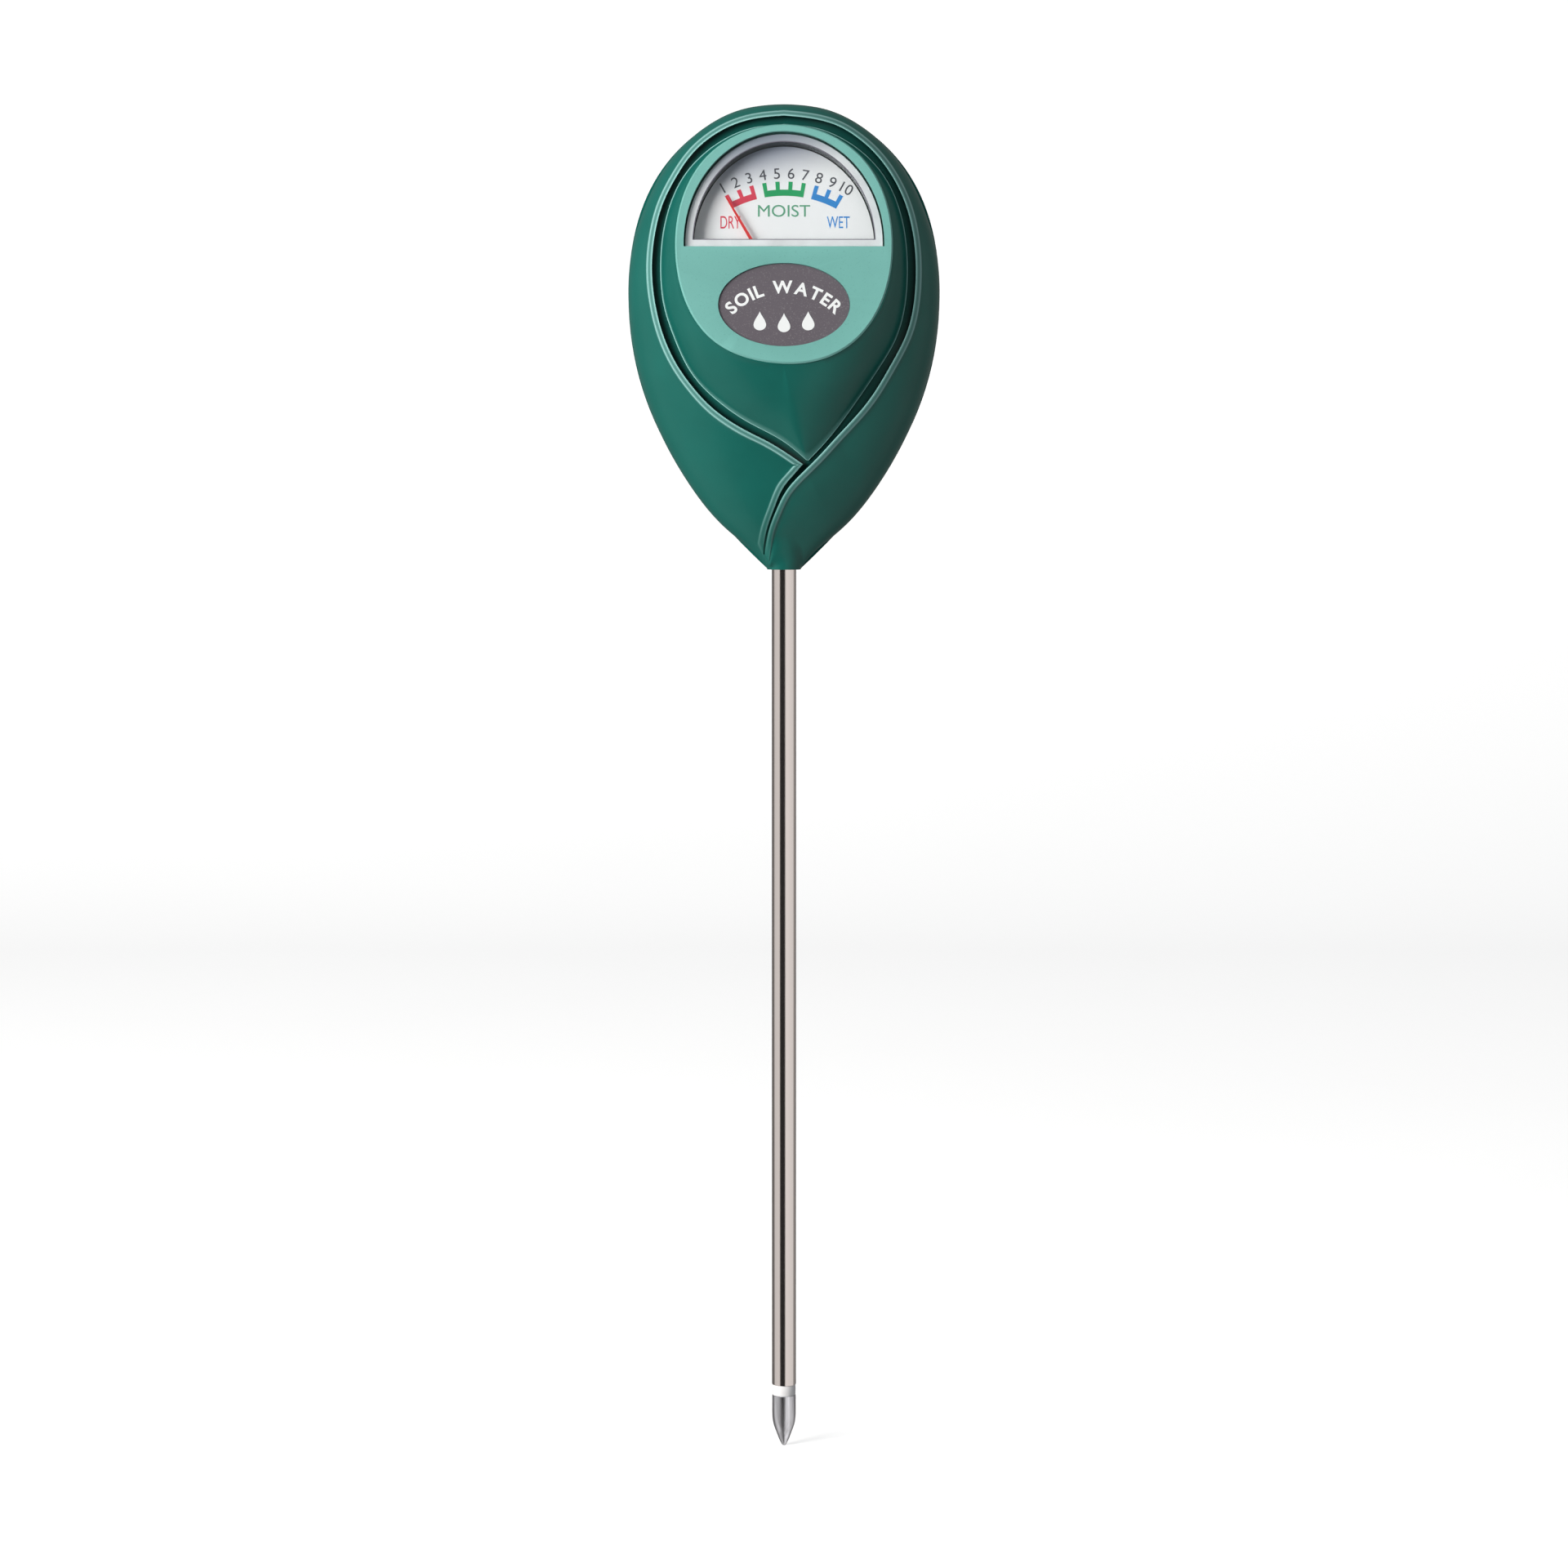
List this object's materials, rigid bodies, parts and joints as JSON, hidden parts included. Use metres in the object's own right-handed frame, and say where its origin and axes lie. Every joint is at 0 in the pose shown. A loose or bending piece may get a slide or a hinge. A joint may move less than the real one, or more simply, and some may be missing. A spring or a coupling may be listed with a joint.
{
  "type": "soil moisture meter",
  "caption": "Analogue soil moisture meter: egg-shaped head with a teardrop panel, half-oval dial window and moving-coil pointer, on a long round two-electrode probe.",
  "frame": {"origin": "on the probe's axis where the probe leaves the head", "axes": "+Z from the probe up through the head, -Y out of the dial towards the reader, +X to the reader's right"},
  "size_m": [0.0632, 0.0352, 0.2754],
  "materials": {
    "case_green": "satin moulded",
    "plate_green": "fine-grained satin",
    "badge_grey": "speckled satin",
    "clear": "clear moulded",
    "dial_white": "matt printed",
    "pointer_red": "satin painted",
    "base_black": "satin moulded",
    "steel": "polished",
    "tip_grey": "brushed",
    "ring_white": "satin moulded",
    "brass": "satin",
    "iron": "ground",
    "copper": "enamelled wire",
    "aluminium": "satin",
    "ruby": "polished",
    "bronze": "satin",
    "wire_red": "satin",
    "wire_black": "satin",
    "sleeve": "satin"
  },
  "bodies": {
    "housing": {"front_shell": "case_green", "rear_shell": "case_green", "face_plate": "plate_green", "badge_plate": "badge_grey", "window_lens": "clear", "dial_plate": "dial_white", "movement_base": "base_black", "case_screws": "steel", "dial_screws": "steel", "bridge_screws": "steel", "movement_screws": "steel", "yoke_ring": "iron", "magnet_core": "iron", "core_bracket": "aluminium", "bearing_bridge": "brass", "jewel_screws": "brass", "jewels": "ruby", "hairspring_front": "bronze", "hairspring_rear": "bronze", "terminal_lugs": "brass", "probe_tube": "steel", "probe_collar": "brass", "insulator_ring": "ring_white", "probe_tip": "tip_grey", "core_wire": "copper", "core_insulation": "sleeve", "tube_lug": "brass", "lead_wire_positive": "wire_red", "lead_wire_negative": "wire_black"},
    "pointer_assembly": {"pointer": "pointer_red", "coil_former": "aluminium", "coil_winding": "copper", "pivot_pins": "steel", "balance_weights": "brass"},
    "zero_adjuster": {"zero_arm": "brass"}
  },
  "joints": [
    {"name": "pointer_swing", "type": "hinge", "parent": "housing", "child": "pointer_assembly", "pos_m": [0, -0.0164, 0.0554], "axis": [0, 0.9659, -0.2588], "range_deg": [-3, 61], "stiffness_Nm_per_rad": 0.00001},
    {"name": "zero_adjust", "type": "hinge", "parent": "housing", "child": "zero_adjuster", "pos_m": [0, -0.0164, 0.0554], "axis": [0, 0.9659, -0.2588], "range_deg": [-8, 8]}
  ]
}
